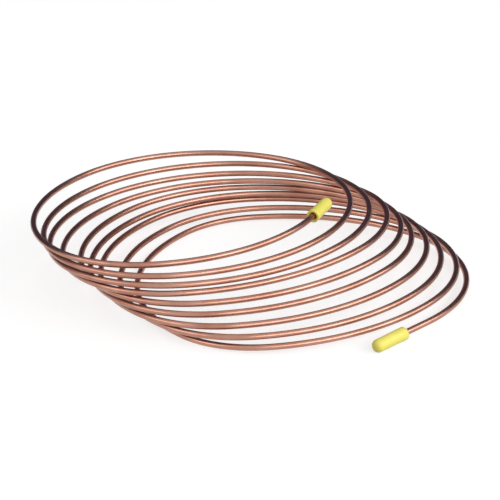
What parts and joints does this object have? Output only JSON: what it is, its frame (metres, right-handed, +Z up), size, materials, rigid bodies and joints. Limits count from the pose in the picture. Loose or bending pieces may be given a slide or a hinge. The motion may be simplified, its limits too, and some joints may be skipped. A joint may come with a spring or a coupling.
{
  "type": "copper tube coil",
  "caption": "Open coil of thin copper capillary tube, slumped so that its turns fan out to one side, with a soft yellow push-on cap closing each tube end.",
  "frame": {"origin": "on the floor under the middle of the coil, within 3 mm of the middle of its outline as seen from above", "axes": "+Z up from the floor; +X to the right and +Y away as seen from the front, where the lower capped end lies at the right; the turns lean towards +X and -Y going down"},
  "size_m": [0.1705, 0.1577, 0.0303],
  "materials": {
    "copper": "satin bare copper",
    "yellow_vinyl": "soft matte vinyl"
  },
  "bodies": {
    "root": {"copper_tube": "copper", "upper_end_cap": "yellow_vinyl", "lower_end_cap": "yellow_vinyl"}
  },
  "joints": []
}
